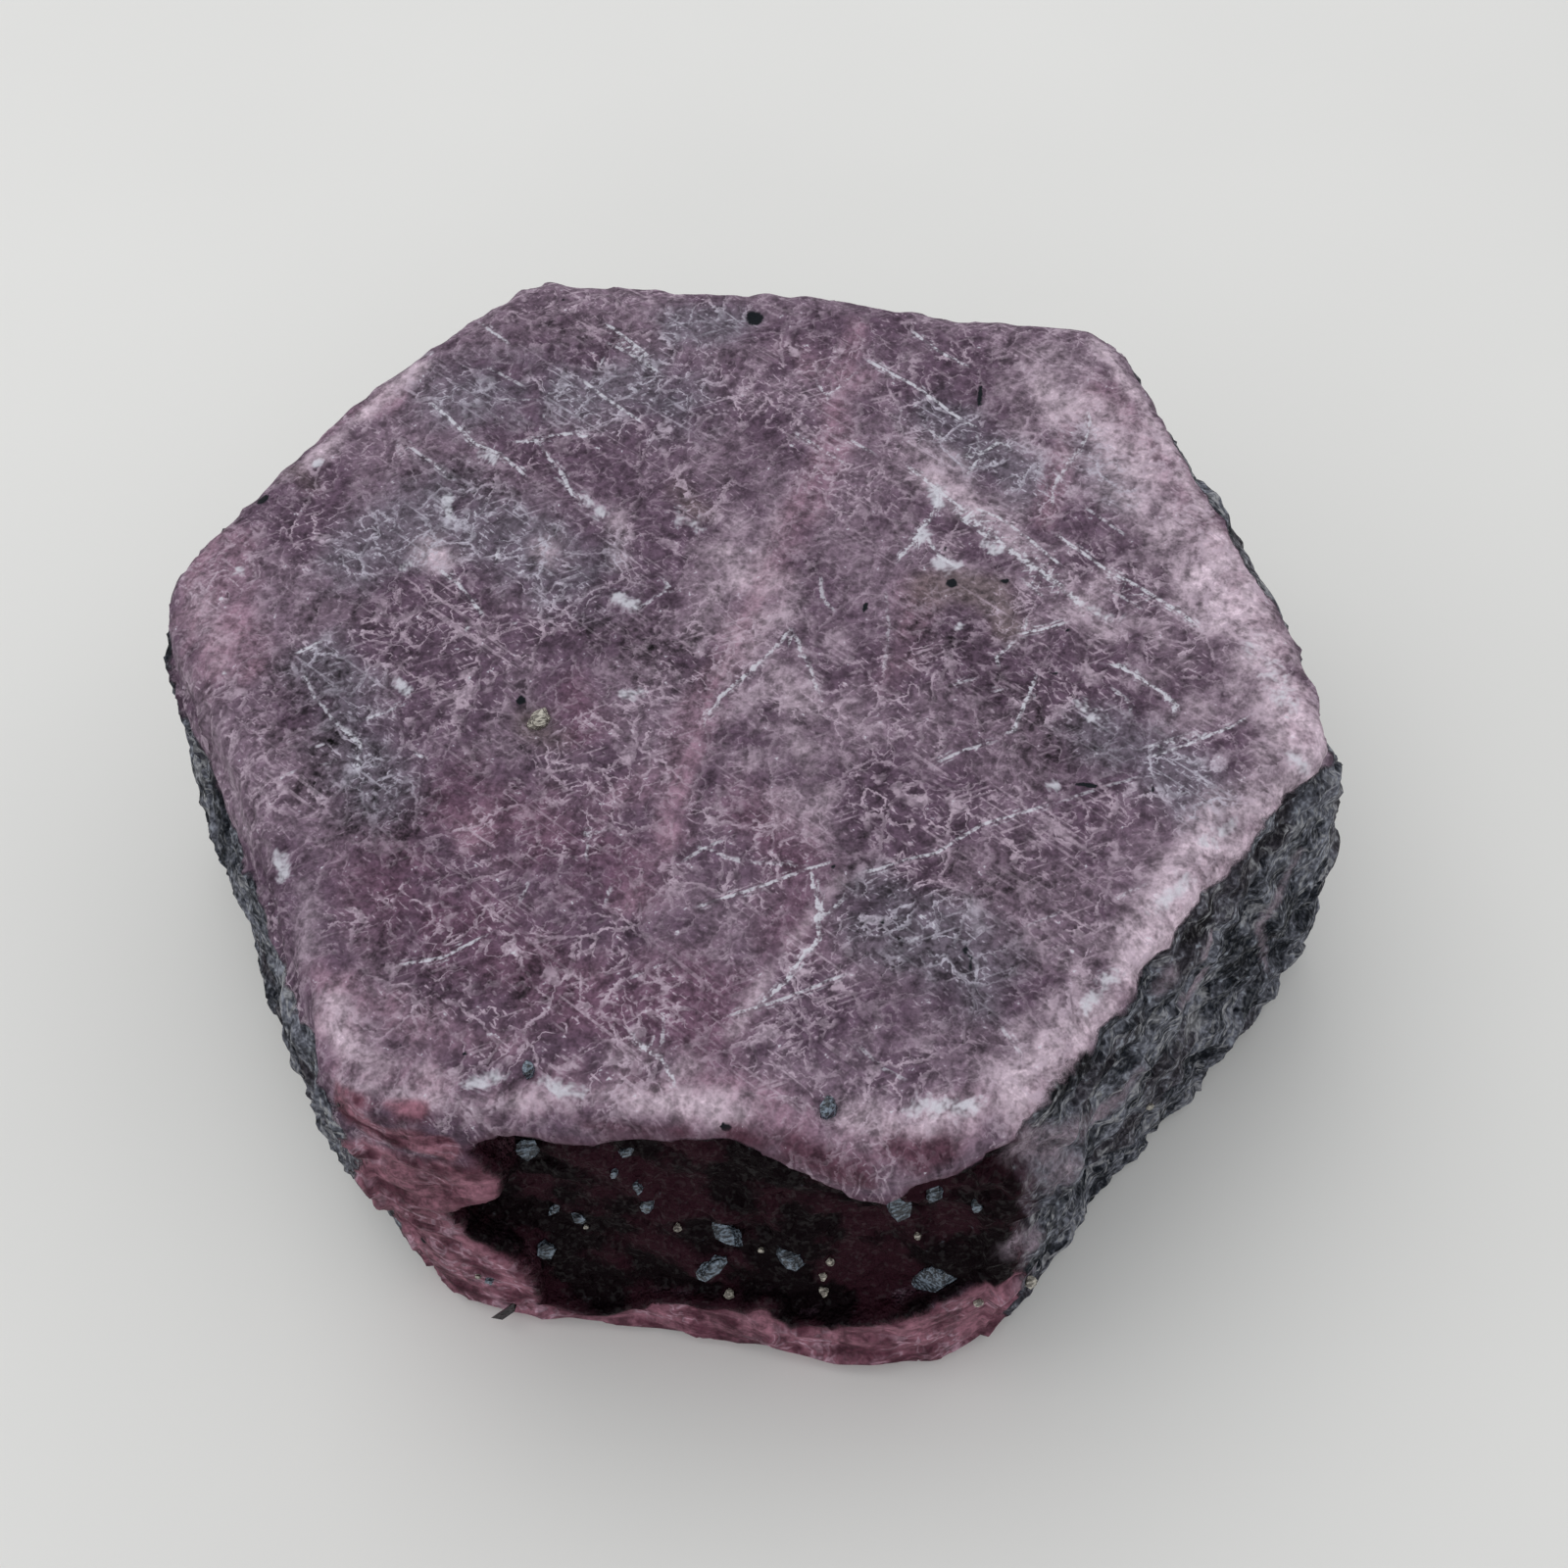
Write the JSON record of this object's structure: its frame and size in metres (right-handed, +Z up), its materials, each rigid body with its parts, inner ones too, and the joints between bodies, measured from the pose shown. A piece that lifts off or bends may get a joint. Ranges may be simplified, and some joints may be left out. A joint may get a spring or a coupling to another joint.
{
  "type": "rough ruby crystal",
  "caption": "Flat hexagonal rough ruby crystal with a ground top, a worn pink rim, a dark recess in the front face and rough dark skin on its sides; rests on its flat underside.",
  "frame": {"origin": "middle of the box in plan, at the height of the flat underside that the crystal rests on", "axes": "+Z up along the crystal's own axis, +X along the longer way across, from the left corner to the right corner as seen from the front face; the front face with the dark recess looks along -Y"},
  "size_m": [0.0598, 0.052, 0.0211],
  "materials": {
    "ruby": "dusky mauve ruby, ground and scratched on top, with dark slate-grey mineral skin on the prism faces"
  },
  "bodies": {
    "root": {"ruby_crystal": "ruby"}
  },
  "joints": []
}
